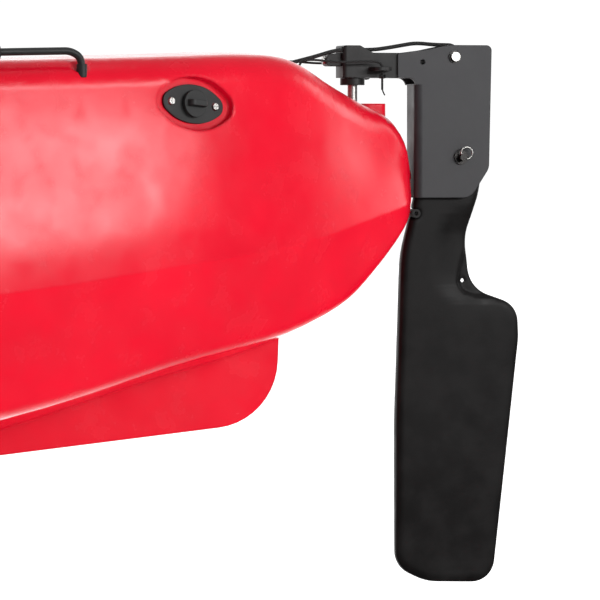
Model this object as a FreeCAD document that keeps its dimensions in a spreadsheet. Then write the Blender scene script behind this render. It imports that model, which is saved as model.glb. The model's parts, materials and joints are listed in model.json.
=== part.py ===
"""A sit-on-top pedal kayak: moulded hull, kick-up rudder, folding seat and pedal drive.

Frame: +X to the bow, +Y to port, +Z up, in millimetres. The origin is under the middle of the
boat on the flat of the keel bar. Every sub-part is one document object whose Label is its
node name, and each is written to parts/NODE.step.
"""
import FreeCAD, Part
import math
import os

from FreeCAD import Placement, Rotation, Vector

doc = FreeCAD.newDocument("pedal_kayak")

# ---------------------------------------------------------------- driving dimensions

SIZES = [
    ("hull_wall", 6, "moulded wall"),
    ("keel_width", 36, "flat keel bar and skeg"),
    ("deck_crown", 6, "how much the deck rises to its centre line"),
    ("scupper_radius", 16, "bore of a drain tube through the hull"),
    ("rod_holder_radius", 20.5, "bore of a rod holder"),
    ("rod_holder_depth", 200, "depth of a rod holder"),
    ("pin_x", -1765, "rudder pin, fore and aft"),
    ("pin_radius", 5.5, "rudder pin"),
    ("arm_bottom", 437.5, "underside of the rudder head"),
    ("arm_top", 465, "top of the rudder arm"),
    ("head_top", 473, "top of the rudder head"),
    ("housing_half_width", 20, "outside of the folded rudder housing"),
    ("housing_sheet", 3, "sheet thickness of the rudder housing"),
    ("pivot_x", -1884, "blade pivot, fore and aft"),
    ("pivot_z", 350, "blade pivot height"),
    ("sheave_x", -1877, "lift line sheave, fore and aft"),
    ("sheave_z", 461, "lift line sheave height"),
    ("blade_thickness", 20, "rudder blade"),
    ("line_radius", 1.3, "steering line"),
    ("lift_line_radius", 2.2, "lift line"),
    ("screw_radius", 2.5, "shank of a deck screw"),
    ("well_floor", 75, "foot well floor"),
    ("seat_floor", 105, "seat deck"),
    ("tank_floor", 190, "tank well floor"),
    ("slot_aft", 165, "aft end of the drive slot"),
    ("slot_front", 790, "front end of the drive slot"),
    ("slot_half_width", 50, "drive slot"),
    ("drive_x", 660, "drive leg, fore and aft"),
    ("crank_z", 420, "crank axis height"),
    ("prop_z", -165, "propeller axis height"),
    ("cross_x", 740, "drive cross tube, fore and aft"),
    ("cross_z", 230, "drive cross tube height"),
    ("cross_radius", 12.5, "drive cross tube"),
    ("crank_throw", 115, "crank axis to pedal axis"),
    ("seat_tube_radius", 11, "seat frame tube"),
    ("recline_x", -300, "seat back hinge, fore and aft"),
    ("recline_z", 236, "seat back hinge height"),
]

sheet = doc.addObject("Spreadsheet::Sheet", "Sizes")
for row, (alias, value, note) in enumerate(SIZES, start=1):
    sheet.set("A%d" % row, alias)
    sheet.set("B%d" % row, str(value))
    sheet.set("C%d" % row, note)
    sheet.setAlias("B%d" % row, alias)
doc.recompute()


def size(alias):
    """The value of one cell of the sheet, in millimetres."""
    return float(sheet.get(alias))


# ---------------------------------------------------------------- helpers

NODES = {}
X_AXIS = Vector(1, 0, 0)
Y_AXIS = Vector(0, 1, 0)
Z_AXIS = Vector(0, 0, 1)


def node(name, thing):
    """Register a document object as the sub-part of this name."""
    thing.Label = name
    NODES[name] = thing
    return thing


def bind(thing, **sizes):
    """Bind properties to the sheet when given as text, or set them when given as numbers."""
    for prop, value in sizes.items():
        if isinstance(value, str):
            thing.setExpression(prop, value)
        else:
            setattr(thing, prop, value)
    return thing


def cell(alias):
    return "Sizes." + alias


def turn_to(axis):
    """The rotation that takes +Z to this axis."""
    return Rotation(Z_AXIS, Vector(axis))


def box(corner, extent):
    """A box from its lowest corner, with extents as numbers or expressions."""
    thing = doc.addObject("Part::Box", "box")
    bind(thing, Length=extent[0], Width=extent[1], Height=extent[2])
    thing.Placement = Placement(Vector(*corner), Rotation())
    return thing


def rod(start, axis, length, radius):
    thing = doc.addObject("Part::Cylinder", "rod")
    bind(thing, Radius=radius, Height=length)
    thing.Placement = Placement(Vector(*start), turn_to(axis))
    return thing


def cone(start, axis, length, radius_1, radius_2):
    thing = doc.addObject("Part::Cone", "cone")
    bind(thing, Radius1=radius_1, Radius2=radius_2, Height=length)
    thing.Placement = Placement(Vector(*start), turn_to(axis))
    return thing


def ball(centre, radius):
    thing = doc.addObject("Part::Sphere", "ball")
    bind(thing, Radius=radius)
    thing.Placement = Placement(Vector(*centre), Rotation())
    return thing


def torus(centre, axis, ring_radius, wire_radius):
    thing = doc.addObject("Part::Torus", "ring")
    bind(thing, Radius1=ring_radius, Radius2=wire_radius)
    thing.Placement = Placement(Vector(*centre), turn_to(axis))
    return thing


def cut(base, *tools):
    """Base with each tool taken away, one Part::Cut after another."""
    for tool in tools:
        step = doc.addObject("Part::Cut", "cut")
        step.Base = base
        step.Tool = tool
        base = step
    return base


def fuse(*shapes):
    joined = doc.addObject("Part::MultiFuse", "fuse")
    joined.Shapes = list(shapes)
    joined.Refine = True
    return joined


def common(base, tool):
    both = doc.addObject("Part::Common", "common")
    both.Base = base
    both.Tool = tool
    return both


def group(*pieces):
    """Identical pieces kept as separate solids in one sub-part."""
    together = doc.addObject("Part::Compound", "group")
    together.Links = list(pieces)
    return together


def tube_ring(start, axis, length, outer, inner):
    """A plain bush: a cylinder with a bore right through it."""
    along = Vector(*axis).normalize()
    below = Vector(*start) - along
    bore_length = "(%s) + 2" % length if isinstance(length, str) else length + 2
    return cut(rod(start, axis, length, outer), rod(tuple(below), axis, bore_length, inner))


def rounded(corners):
    """Edges round a closed outline of (u, v, radius) corners, each radius a tangent arc."""
    edges = []
    joints = []
    count = len(corners)
    for index, (u, v, radius) in enumerate(corners):
        here = Vector(u, v, 0)
        before = Vector(corners[index - 1][0], corners[index - 1][1], 0) - here
        after = Vector(corners[(index + 1) % count][0], corners[(index + 1) % count][1], 0) - here
        if radius <= 0:
            joints.append((here, None, here))
            continue
        before.normalize()
        after.normalize()
        half = before.getAngle(after) / 2
        reach = radius / math.tan(half)
        start = here + before * reach
        end = here + after * reach
        middle_way = (before + after).normalize()
        middle = here + middle_way * (radius / math.sin(half) - radius)
        joints.append((start, middle, end))
    for index, (start, middle, end) in enumerate(joints):
        last_end = joints[index - 1][2]
        if last_end.distanceToPoint(start) > 1e-6:
            edges.append(Part.LineSegment(last_end, start))
        if middle is not None:
            edges.append(Part.Arc(start, middle, end))
    return edges


PLANE_NORMAL = {"XY_Plane": Z_AXIS, "XZ_Plane": Y_AXIS * -1, "YZ_Plane": X_AXIS}


def sketch_on(body, plane, outline):
    sketch = body.newObject("Sketcher::SketchObject", "outline")
    support = [item for item in body.Origin.OriginFeatures if item.Role == plane][0]
    sketch.AttachmentSupport = (support, "")
    sketch.MapMode = "FlatFace"
    for edge in outline:
        sketch.addGeometry(edge)
    return sketch


def plate(plane, outline, thickness, offset=0.0, edge=0.0):
    """A body padded both ways from an outline on one of its origin planes.

    The outline is in frame coordinates. The offset moves the middle of the plate along the
    axis across the plane, and edge rounds all the long edges of the two faces.
    """
    body = doc.addObject("PartDesign::Body", "plate")
    profile = sketch_on(body, plane, outline)
    pad = body.newObject("PartDesign::Pad", "pad")
    pad.Profile = profile
    pad.SideType = "Symmetric"
    bind(pad, Length=thickness)
    if edge:
        doc.recompute()
        normal = PLANE_NORMAL[plane]
        rims = rim_names(pad.Shape, normal)
        fillet = body.newObject("PartDesign::Fillet", "edge")
        fillet.Base = (pad, rims)
        fillet.Radius = edge
    body.Placement = Placement(Vector(*[abs(c) * offset for c in PLANE_NORMAL[plane]]), Rotation())
    return body


def rim_names(shape, normal):
    """Names of the edges that lie in the two flat faces across this direction."""
    names = []
    for index, edge in enumerate(shape.Edges, start=1):
        spread = [vertex.Point.dot(normal) for vertex in edge.Vertexes]
        middle = edge.valueAt((edge.FirstParameter + edge.LastParameter) / 2).dot(normal)
        if max(spread + [middle]) - min(spread + [middle]) < 1e-6:
            names.append("Edge%d" % index)
    return names


def route(points, last_radius=None):
    """Straight runs through the points, joined by the largest tangent arcs that fit."""
    points = [Vector(*point) for point in points]
    edges = []
    radii = []
    cursor = points[0]
    for before, here, after in zip(points, points[1:], points[2:]):
        back = before - here
        onward = after - here
        shorter = min(back.Length, onward.Length)
        back.normalize()
        onward.normalize()
        turn = math.pi - back.getAngle(onward)
        reach = 0.45 * shorter
        radius = reach / math.tan(turn / 2)
        if last_radius and radius > last_radius:
            radius = last_radius
            reach = radius * math.tan(turn / 2)
        start = here + back * reach
        end = here + onward * reach
        bisector = (back + onward).normalize()
        middle = here + bisector * (radius / math.cos(turn / 2) - radius)
        edges.append(Part.LineSegment(cursor, start).toShape())
        edges.append(Part.Arc(start, middle, end).toShape())
        cursor = end
        radii.append(radius)
    edges.append(Part.LineSegment(cursor, points[-1]).toShape())
    return Part.Wire(edges), radii


def tube(points, radius, bend=None):
    """A round bar swept along straight runs and tangent arcs."""
    wire, radii = route(points, bend)
    spine = doc.addObject("Part::Feature", "spine")
    spine.Shape = wire
    profile = doc.addObject("Part::Circle", "profile")
    bind(profile, Radius=radius)
    heading = (Vector(*points[1]) - Vector(*points[0])).normalize()
    profile.Placement = Placement(Vector(*points[0]), turn_to(heading))
    sweep = doc.addObject("Part::Sweep", "tube")
    sweep.Sections = [profile]
    sweep.Spine = (spine, ["Edge%d" % (i + 1) for i in range(len(wire.Edges))])
    sweep.Solid = True
    sweep.Frenet = False
    sweep.Transition = "Transformed"
    return sweep, wire.Length, radii


def mirror_y(source):
    """The starboard twin of a port piece."""
    twin = doc.addObject("Part::Mirroring", "mirror")
    twin.Source = source
    twin.Normal = Y_AXIS
    twin.Base = Vector(0, 0, 0)
    return twin


def placed(source_shape, at, rotation=Rotation()):
    """A copy of a shape already worked out, set down at its own Placement."""
    thing = doc.addObject("Part::Feature", "copy")
    thing.Shape = source_shape
    thing.Placement = Placement(Vector(*at), rotation)
    return thing

# ---------------------------------------------------------------- hull form

# Each curve of the hull is given by a few (x, value) points from stern to bow.
KEEL_HEIGHT = [(-1829, 292), (-1826, 283), (-1818, 270), (-1803, 250), (-1774, 217), (-1739, 184),
               (-1702, 162), (-1660, 143), (-1518, 101), (-1362, 53), (-1200, 22), (-1000, 8),
               (-700, 6), (-300, 6), (300, 6), (900, 7), (1250, 30), (1500, 98), (1680, 190),
               (1790, 280), (1832, 352)]
CHINE_HEIGHT = [(-1829, 303), (-1815, 297), (-1740, 277), (-1662, 258), (-1500, 234), (-1307, 208),
                (-1000, 188), (-300, 170), (500, 176), (1100, 222), (1500, 294), (1760, 358),
                (1832, 382)]
CHINE_BREADTH = [(-1829, 9), (-1825, 23), (-1817, 38), (-1800, 54), (-1775, 75), (-1740, 103),
                 (-1662, 160), (-1500, 234), (-1307, 287), (-1000, 352), (-400, 424), (200, 432),
                 (700, 384), (1100, 278), (1400, 176), (1650, 84), (1790, 30), (1832, 14)]
GUNWALE_BREADTH = [(-1829, 7), (-1825, 19), (-1817, 31), (-1800, 45), (-1775, 63), (-1740, 90),
                   (-1662, 148), (-1500, 216), (-1307, 264), (-1000, 322), (-400, 392), (200, 402),
                   (700, 366), (1100, 266), (1400, 168), (1650, 78), (1790, 27), (1832, 12)]
GUNWALE_HEIGHT = [(-1829, 322), (-1825, 349), (-1817, 369), (-1800, 390), (-1775, 403), (-1740, 417),
                  (-1700, 435), (-1660, 453), (-1620, 459), (-1560, 458), (-1300, 449),
                  (-1000, 436), (-500, 392), (0, 370), (500, 374), (1000, 402), (1400, 440),
                  (1700, 462), (1790, 452), (1832, 412)]
STATIONS = [-1829, -1827, -1822, -1814, -1801, -1782, -1756, -1724, -1685, -1638, -1580, -1500,
            -1400, -1280, -1140, -980, -800, -580, -330, -50, 250, 520, 760, 960, 1130, 1280,
            1410, 1520, 1610, 1685, 1740, 1785, 1815, 1832]
DEADRISE = math.radians(9)
BILGE_START = 0.66
TUMBLEHOME = 0.05


def smooth(curve, x):
    """Value at x on a smooth curve through the points, which may turn upright at the stern."""
    spline = Part.BSplineCurve()
    start = curve[0][0]
    spline.interpolate(Points=[Vector(place, value, 0) for place, value in curve],
                       Parameters=[math.sqrt(place - start) for place, _ in curve])
    return spline.value(math.sqrt(x - start)).y


def bezier(*points):
    curve = Part.BezierCurve()
    curve.setPoles([Vector(*point) for point in points])
    return curve.toShape()


def half_section(x, inset):
    """Edges of the port half of one section, from the keel out, up and in to the deck."""
    keel = smooth(KEEL_HEIGHT, x) + inset
    chine_z = smooth(CHINE_HEIGHT, x)
    chine_y = smooth(CHINE_BREADTH, x) - inset
    gunwale_y = smooth(GUNWALE_BREADTH, x) - inset
    gunwale_z = smooth(GUNWALE_HEIGHT, x) - inset
    deck_z = gunwale_z + size("deck_crown") * min(1.0, gunwale_y / 200)
    lower = chine_z - keel
    upper = gunwale_z - chine_z
    roll = min(30, 0.42 * gunwale_y, 0.4 * upper)

    rise = min(math.tan(DEADRISE), 0.5 * lower / chine_y)
    start_y = BILGE_START * chine_y
    start_z = keel + rise * start_y
    bend = 0.24 * chine_y
    bilge = [(x, start_y, start_z), (x, start_y + bend, start_z + rise * bend),
             (x, chine_y - 0.30 * (chine_z - start_z), chine_z - 0.60 * (chine_z - start_z)),
             (x, chine_y, chine_z)]
    lean = TUMBLEHOME * upper * min(1.0, gunwale_y / 150)
    side = [(x, chine_y, chine_z), (x, chine_y - 0.1 * lean, chine_z + 0.36 * upper),
            (x, gunwale_y + 0.1 * lean, gunwale_z - roll - 0.36 * upper),
            (x, gunwale_y, gunwale_z - roll)]
    corner = [(x, gunwale_y, gunwale_z - roll), (x, gunwale_y, gunwale_z - 0.45 * roll),
              (x, gunwale_y - 0.55 * roll, gunwale_z), (x, gunwale_y - roll, gunwale_z)]
    third = (gunwale_y - roll) / 3
    deck = [(x, gunwale_y - roll, gunwale_z), (x, 2 * third, gunwale_z + 0.5 * (deck_z - gunwale_z)),
            (x, third, deck_z), (x, 0, deck_z)]
    bottom_third = start_y / 3
    bottom = [(x, 0, keel), (x, bottom_third, keel + rise * bottom_third),
              (x, 2 * bottom_third, keel + 2 * rise * bottom_third), (x, start_y, start_z)]
    return [bottom, bilge, side, corner, deck]


def section(x, inset):
    port = half_section(x, inset)
    starboard = [[(px, -py, pz) for px, py, pz in reversed(strip)] for strip in reversed(port)]
    return Part.Wire([bezier(*strip) for strip in port + starboard])


def hull_loft(inset, first, last):
    """A closed solid through the sections between two stations."""
    places = [x for x in STATIONS if first < x < last]
    wires = [section(x, inset) for x in [first] + places + [last]]
    thing = doc.addObject("Part::Feature", "loft")
    thing.Shape = Part.makeLoft(wires, True, False, False, 3)
    return thing


def well(corners, bottom, top, edge):
    """A block for a moulded well: an outline seen from above, with a rounded floor edge."""
    body = doc.addObject("PartDesign::Body", "well")
    profile = sketch_on(body, "XY_Plane", rounded(corners))
    pad = body.newObject("PartDesign::Pad", "pad")
    pad.Profile = profile
    pad.Length = top - bottom
    if edge:
        doc.recompute()
        floor = []
        for index, item in enumerate(pad.Shape.Edges, start=1):
            heights = [vertex.Point.z for vertex in item.Vertexes]
            if max(heights) < 1e-6:
                floor.append("Edge%d" % index)
        fillet = body.newObject("PartDesign::Fillet", "floor_edge")
        fillet.Base = (pad, floor)
        fillet.Radius = edge
    body.Placement = Placement(Vector(0, 0, bottom), Rotation())
    return body


def symmetric(half):
    """A closed outline from the port half of it, listed from stern to bow."""
    return half + [(u, -v, radius) for u, v, radius in reversed(half)]


def grown(half, wall):
    """The outside of a well's wall: its outline moved out by the wall."""
    first_u = half[0][0]
    last_u = half[-1][0]
    moved = []
    for u, v, radius in half:
        shift = -wall if u == first_u else (wall if u == last_u else 0)
        moved.append((u + shift, v + wall, radius + wall))
    return moved


# ---------------------------------------------------------------- hull

CAVITY_AFT = -1800
CAVITY_FRONT = 1815
ABOVE_DECK = 520
BELOW_KEEL = -60
DRAIN_SCREW_SPACING = 56
SCUPPERS = [(-1150, 140), (-760, 150), (-470, 150)]
ROD_HOLDERS = (-600, 215)
ROD_HOLDER_LEAN = Vector(0, 0.12, 1)
HATCH = [(1165, 128, 70), (1405, 98, 70)]
HATCH_RIM_TOP = 453
CUP = (250, 345, 34)


def skeg():
    """The moulded fin under the stern, running forward into the flat keel bar."""
    outline = [(130, 0, 30), (-1110, 0, 400), (-1672, 61.5, 75), (-1676, 162, 8), (-1640, 180, 0), (-1400, 90, 0), (-1200, 50, 0), (-1000, 30, 0),
               (110, 30, 0)]
    return plate("XZ_Plane", rounded(outline), cell("keel_width"))


def stern_pad():
    """The small raised seat moulded behind the rudder pin."""
    return well([(-1799, -20, 8), (-1771, -20, 8), (-1771, 20, 8), (-1799, 20, 8)], 385, 409, 0)


def tub_pair(half, floor, top, edge):
    """The space of a moulded well and the outside of its wall."""
    wall = size("hull_wall")
    space = well(symmetric(half), floor, top, edge)
    outside = well(symmetric(grown(half, wall)), floor - wall, top, edge + wall)
    return space, outside


def moulded_wells():
    """Spaces and wall blocks of the foot well, the seat deck and the tank well."""
    foot = [(150, 285, 60), (720, 285, 300), (1100, 212, 70)]
    seat = [(-560, 262, 60), (190, 276, 20)]
    tank = [(-1290, 188, 60), (-640, 218, 60)]
    floors = ((foot, "well_floor"), (seat, "seat_floor"), (tank, "tank_floor"))
    return [tub_pair(half, size(floor), ABOVE_DECK, 24) for half, floor in floors]


def drive_slot():
    half_width = size("slot_half_width")
    half = [(size("slot_aft"), half_width, 30), (size("slot_front"), half_width, 30)]
    space = well(symmetric(half), BELOW_KEEL, 200, 0)
    outside = well(symmetric(grown(half, size("hull_wall"))), BELOW_KEEL, size("well_floor") - 1, 0)
    return space, outside


def round_wells():
    """Drain tubes, rod holders and the cup holder: each a bore and its wall."""
    pairs = []
    wall = " + Sizes.hull_wall"
    for x, y in SCUPPERS:
        for side in (1, -1):
            start = (x, side * y, BELOW_KEEL)
            pairs.append((rod(start, Z_AXIS, 400, cell("scupper_radius")),
                          rod(start, Z_AXIS, 145, cell("scupper_radius") + wall)))
    for side in (1, -1):
        mouth, lean = rod_holder_axis(side)
        foot = mouth - lean * size("rod_holder_depth")
        pairs.append((rod(tuple(foot), lean, 400, cell("rod_holder_radius")),
                      rod(tuple(foot - lean * size("hull_wall")), lean, 400,
                          cell("rod_holder_radius") + wall)))
        x, y, radius = CUP
        pairs.append((rod((x, side * y, 290), Z_AXIS, 200, radius),
                      rod((x, side * y, 290 - size("hull_wall")), Z_AXIS, 200, radius + 6)))
    return pairs


def rod_holder_axis(side):
    """Centre of a rod holder's mouth on the deck, and the unit vector up along its bore."""
    x, y = ROD_HOLDERS
    lean = Vector(ROD_HOLDER_LEAN.x, side * ROD_HOLDER_LEAN.y, ROD_HOLDER_LEAN.z).normalize()
    return Vector(x, side * y, 405), lean


def drain_frame():
    """Placement of the drain pocket: x aft along the side, y up, z straight out of the hull."""
    outward = Vector(-0.34, 0.935, 0.10).normalize()
    aft = outward.cross(Z_AXIS) * -1
    aft = aft.normalize()
    tilt = Rotation(outward, -6)
    aft = tilt.multVec(aft)
    up = outward.cross(aft)
    return Placement(Vector(-1529, 199, 405), Rotation(aft, up, outward, "ZXY"))


def in_drain_frame(thing):
    thing.Placement = drain_frame().multiply(thing.Placement)
    return thing


def oval(half_length, half_width):
    """An oval outline close to an ellipse, from eight rounded corners."""
    flat = 0.45 * half_length
    tip = 0.3 * half_width
    turn = math.atan2(half_width - tip, half_length - flat)
    broad = 0.9 * flat / math.tan(turn / 2)
    tight = 0.95 * tip / math.tan((math.pi / 2 - turn) / 2)
    corners = [(flat, half_width, broad), (half_length, tip, tight)]
    right = [(x, -y, radius) for x, y, radius in corners] + corners[::-1]
    left = [(-x, -y, radius) for x, y, radius in right]
    return rounded(right + left)


def drain_pocket():
    wall = size("hull_wall")
    space = plate("XY_Plane", oval(48, 28), 80, offset=40)
    outside = plate("XY_Plane", oval(48 + wall, 28 + wall), 80 + wall, offset=40 - wall / 2)
    return in_drain_frame(space), in_drain_frame(outside)


def drain_holes():
    holes = [rod((0, 0, -40), Z_AXIS, 80, 11.6)]
    for side in (1, -1):
        holes.append(rod((side * DRAIN_SCREW_SPACING / 2, 0, -30), Z_AXIS, 60, cell("screw_radius")))
    return [in_drain_frame(hole) for hole in holes]


def hatch_outline(grow):
    return [(HATCH[0][0] - grow, HATCH[0][1] + grow, HATCH[0][2] + grow),
            (HATCH[1][0] + grow, HATCH[1][1] + grow, HATCH[1][2] + grow)]


def handle_notches():
    """Shallow moulded seats in the gunwales for the ends of the side handles."""
    notches = []
    for side in (1, -1):
        for x, y, z in ((-1401, 243, 455), (-1132, 301, 444)):
            notches.append(ball((x, side * y, z), 19))
    return notches


def make_hull():
    wells = moulded_wells() + [drive_slot(), drain_pocket()] + round_wells()
    spaces = [space for space, _ in wells]
    walls = [outside for _, outside in wells]
    pin = (size("pin_x"), 0, 330)
    walls.append(rod(pin, Z_AXIS, 200, 14))
    spaces.append(rod((size("pin_x"), 0, 360), Z_AXIS, 200, cell("pin_radius")))
    spaces.append(well(symmetric(hatch_outline(0)), 330, ABOVE_DECK, 0))
    spaces += drain_holes() + handle_notches()
    x, y = LINE_EXIT
    for x, y in ((x, y), (x, -y), (x + 6, LIFT_EXIT_Y)):
        spaces.append(rod((x, y, GUIDE_FOOT), Z_AXIS, 60, GUIDE_RADIUS))

    rim = well(symmetric(hatch_outline(16)), 380, HATCH_RIM_TOP, 0)
    form = hull_loft(0, STATIONS[0], STATIONS[-1])
    outer = fuse(form, skeg(), stern_pad(), rim)
    cavity = cut(hull_loft(size("hull_wall"), CAVITY_AFT, CAVITY_FRONT), *walls)
    return form, node("hull", cut(outer, cavity, *spaces))


# ---------------------------------------------------------------- rudder

STEER_LUG = (-1790, 31)
LINE_EXIT = (-1690, 44)
LIFT_EXIT_Y = 20
GUIDE_FOOT = 436
GUIDE_RADIUS = 7
HEAD_FRONT = -1750
HEAD_HALF = 16.9
GUIDE_REACH = 17
LINE_HOLE_Y = 11
LINE_HOLE_Z = 468.2


def make_rudder_pin():
    foot = (size("pin_x"), 0, 360)
    node("rudder_pin", rod(foot, Z_AXIS, 112, cell("pin_radius")))
    collar = tube_ring((size("pin_x"), 0, 429.5), Z_AXIS, 7.6, 13.5, cell("pin_radius"))
    node("rudder_collar", collar)


def make_rudder_head():
    """Cast head that turns on the pin, with the arm that carries the housing."""
    bottom = size("arm_bottom")
    top = size("arm_top")
    crown = size("head_top")
    front = HEAD_FRONT
    outline = [(front, bottom, 0), (front, crown, 3), (-1769, crown, 3), (-1784, top, 5),
               (-1858, top, 2), (-1858, bottom, 2)]
    side = plate("XZ_Plane", rounded(outline), 2 * HEAD_HALF)
    seen_from_above = [(-1858, -HEAD_HALF, 0), (front, -HEAD_HALF, 4), (front, HEAD_HALF, 4),
                       (-1858, HEAD_HALF, 0)]
    arm = common(side, well(seen_from_above, bottom, crown, 0))
    bore = rod((size("pin_x"), 0, bottom - 5), Z_AXIS, 60, cell("pin_radius") + " + 0.05")
    line_hole = rod((front + 5, LINE_HOLE_Y, LINE_HOLE_Z), X_AXIS * -1, 60, 3.1)
    rivet_hole = rod((-1840, -40, 455), Y_AXIS, 80, 2.8)
    lugs = []
    x, y = STEER_LUG
    for side in (1, -1):
        outline = [(x + 11, side * 15, 0), (x + 9, side * (y + 8), 7),
                   (x - 9, side * (y + 8), 7), (x - 13, side * 15, 0)]
        lug = plate("XY_Plane", rounded(outline), 4, offset=447)
        lugs.append(cut(lug, rod((x, side * y, 440), Z_AXIS, 15, 2.4)))
    node("rudder_head", cut(fuse(arm, *lugs), bore, line_hole, rivet_hole))

    tip = front + GUIDE_REACH
    guide = plate("XZ_Plane", rounded([(front, 450, 0), (tip, 450, 4), (tip, 463, 4),
                                       (front, 465, 0)]), 18)
    screw_seat = rod((tip - 9, 0, 457), X_AXIS, 20, cell("screw_radius"))
    node("lift_line_guide", cut(guide, screw_seat))


def make_rudder_housing():
    """A sheet folded into a channel: two side plates and the front between them."""
    half = size("housing_half_width")
    sheet_thickness = size("housing_sheet")
    front = -1832
    outline = [(-1811.5, 437.5, 2), (-1811.5, 464, 2), (-1846, 468.5, 60), (-1872, 474, 30),
               (-1920, 474, 6), (-1917, 338, 16), (-1896, 305.5, 18), (front, 305.5, 0),
               (front, 437.5, 9)]
    block = plate("XZ_Plane", rounded(outline), "2 * Sizes.housing_half_width")
    folded = well([(-1940, -half, 0), (front, -half, 8), (front, half, 8), (-1940, half, 0)],
                  290, 430, 0)
    tongue = box((-1940, -half, 430), (140, 2 * half, 60))
    body = common(block, fuse(folded, tongue))
    back = front - sheet_thickness
    clear = half - sheet_thickness
    channel = well([(-1940, -clear, 0), (back, -clear, 5), (back, clear, 5), (-1940, clear, 0)],
                   290, 490, 0)
    neck = box((back - 10, -clear, 431), (50, 2 * clear, 60))
    spare_hole = rod((-1840, -40, 455), Y_AXIS, 80, 2.8)
    sheave_hole = rod((size("sheave_x"), -40, size("sheave_z")), Y_AXIS, 80, 3.5)
    pivot_hole = rod((size("pivot_x"), -40, size("pivot_z")), Y_AXIS, 80, 4)
    node("rudder_housing", cut(body, channel, neck, spare_hole, sheave_hole, pivot_hole))


def make_rudder_fasteners():
    half = size("housing_half_width")
    x = size("sheave_x")
    z = size("sheave_z")
    bolt = fuse(rod((x, -27, z), Y_AXIS, 51, 3.5), rod((x, 21.5, z), Y_AXIS, 3.5, 5.2),
                rod((x, -27, z), Y_AXIS, 5.5, 5.8))
    tip = HEAD_FRONT + GUIDE_REACH
    shank = rod((tip - 9, 0, 457), X_AXIS, 9, cell("screw_radius"))
    guide_screw = fuse(shank, rod((tip, 0, 457), X_AXIS, 2.5, 4.5))
    node("rudder_bolts", group(bolt, guide_screw))
    washers = [tube_ring((x, half, z), Y_AXIS, 1.5, 7, 3.5),
               tube_ring((x, -half - 1.5, z), Y_AXIS, 1.5, 7, 3.5)]

    x = size("pivot_x")
    z = size("pivot_z")
    away = Vector(-0.7, 0, 0.714).normalize()
    ring_centre = Vector(x, 28, z) + away * 6.5
    across = Vector(away.z, 0, -away.x)
    hole = rod(tuple(Vector(x, 28, z) - across * 10), across, 20, 2.4)
    pin = fuse(rod((x, -24, z), Y_AXIS, 56, 4), rod((x, -26.5, z), Y_AXIS, 2.5, 7))
    node("blade_pivot_pin", cut(pin, hole))
    washers += [tube_ring((x, half, z), Y_AXIS, 2.5, 8, 4),
                tube_ring((x, -half - 2.5, z), Y_AXIS, 2.5, 8, 4)]
    node("rudder_washers", group(*washers))
    node("split_ring", torus(tuple(ring_centre), Y_AXIS, 6.5, 0.9))


def make_lift_sheave():
    x = size("sheave_x")
    z = size("sheave_z")
    wheel = rod((x, -4, z), Y_AXIS, 8, 13)
    groove = torus((x, 0, z), Y_AXIS, 14.2, 3.2)
    bore = rod((x, -10, z), Y_AXIS, 20, 3.56)
    node("lift_sheave", cut(wheel, groove, bore))


def make_blade():
    outline = [(-1841, 330, 8), (-1843, 380, 22), (-1914, 380, 20), (-1914, 335, 30),
               (-1909, 308, 30), (-1894, 262, 55), (-1901, 205, 34), (-1956, 186, 26),
               (-1957.5, 150, 60), (-1927, -122, 26), (-1850, -120, 60), (-1814, -103, 28),
               (-1814, 60, 500), (-1820, 242, 160), (-1836, 306, 20)]
    blade = plate("XZ_Plane", rounded(outline), cell("blade_thickness"), edge=7)
    pivot = rod((size("pivot_x"), -40, size("pivot_z")), Y_AXIS, 80, 7)
    line_hole = rod((-1892, -40, 214), Y_AXIS, 80, 3)
    bumper_hole = rod((-1835, -40, 288), Y_AXIS, 80, 5)
    node("rudder_blade", cut(blade, pivot, line_hole, bumper_hole))
    bush_start = (size("pivot_x"), -16.7, size("pivot_z"))
    node("blade_bush", tube_ring(bush_start, Y_AXIS, 33.4, 7, 4.05))
    bumper = tube_ring((-1835, -12.5, 288), Y_AXIS, 25, 5, 2.2)
    node("blade_bumper", bumper)


def make_lines():
    """Lines from the deck to the rudder, each one straight runs and tangent arcs."""
    x, y = LINE_EXIT
    guides = []
    for side in (1, -1):
        guides.append(tube_ring((x, side * y, GUIDE_FOOT), Z_AXIS, 11, GUIDE_RADIUS, 3.2))
    guides.append(tube_ring((x + 6, LIFT_EXIT_Y, GUIDE_FOOT), Z_AXIS, 12, GUIDE_RADIUS, 3.6))
    node("deck_line_guides", group(*guides))

    lug_x, lug_y = STEER_LUG
    port = [(x, y, 437), (x, y, 453), (x - 13, y - 1, 457), (x - 48, y - 6, 453.5),
            (x - 84, y - 11, 455.5), (lug_x, lug_y, 454), (lug_x, lug_y, 440)]
    line, length, radii = tube(port, cell("line_radius"))
    print("steering line", round(length), [round(r, 1) for r in radii])
    knot = ball((lug_x, lug_y, 438.5), 3.4)
    starboard_line = mirror_y(fuse(line, knot))
    tail = rod((lug_x, lug_y, 424), Z_AXIS, 14, cell("line_radius"))
    node("steering_lines", group(fuse(line, knot, tail), starboard_line))

    around = 13.4
    run = around / 0.45
    wheel_x = size("sheave_x")
    top = size("sheave_z") + around
    lift = [(x + 6, LIFT_EXIT_Y, 437), (x + 6, LIFT_EXIT_Y, 452), (x - 10, 19, 456),
            (x - 30, 16, 461), (x - 50, 12, 467), (-1755, LINE_HOLE_Y, LINE_HOLE_Z),
            (-1785, LINE_HOLE_Y, LINE_HOLE_Z), (-1802, 9, 470.5), (-1820, 4, 473.5),
            (x - 148, 1, 476.5), (wheel_x - around + run, 0, top),
            (wheel_x - around, 0, top), (wheel_x - around, 0, top - run)]
    line, length, radii = tube(lift, cell("lift_line_radius"))
    print("lift line", round(length), [round(r, 1) for r in radii])
    node("lift_line", line)


# ---------------------------------------------------------------- deck fittings

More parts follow.
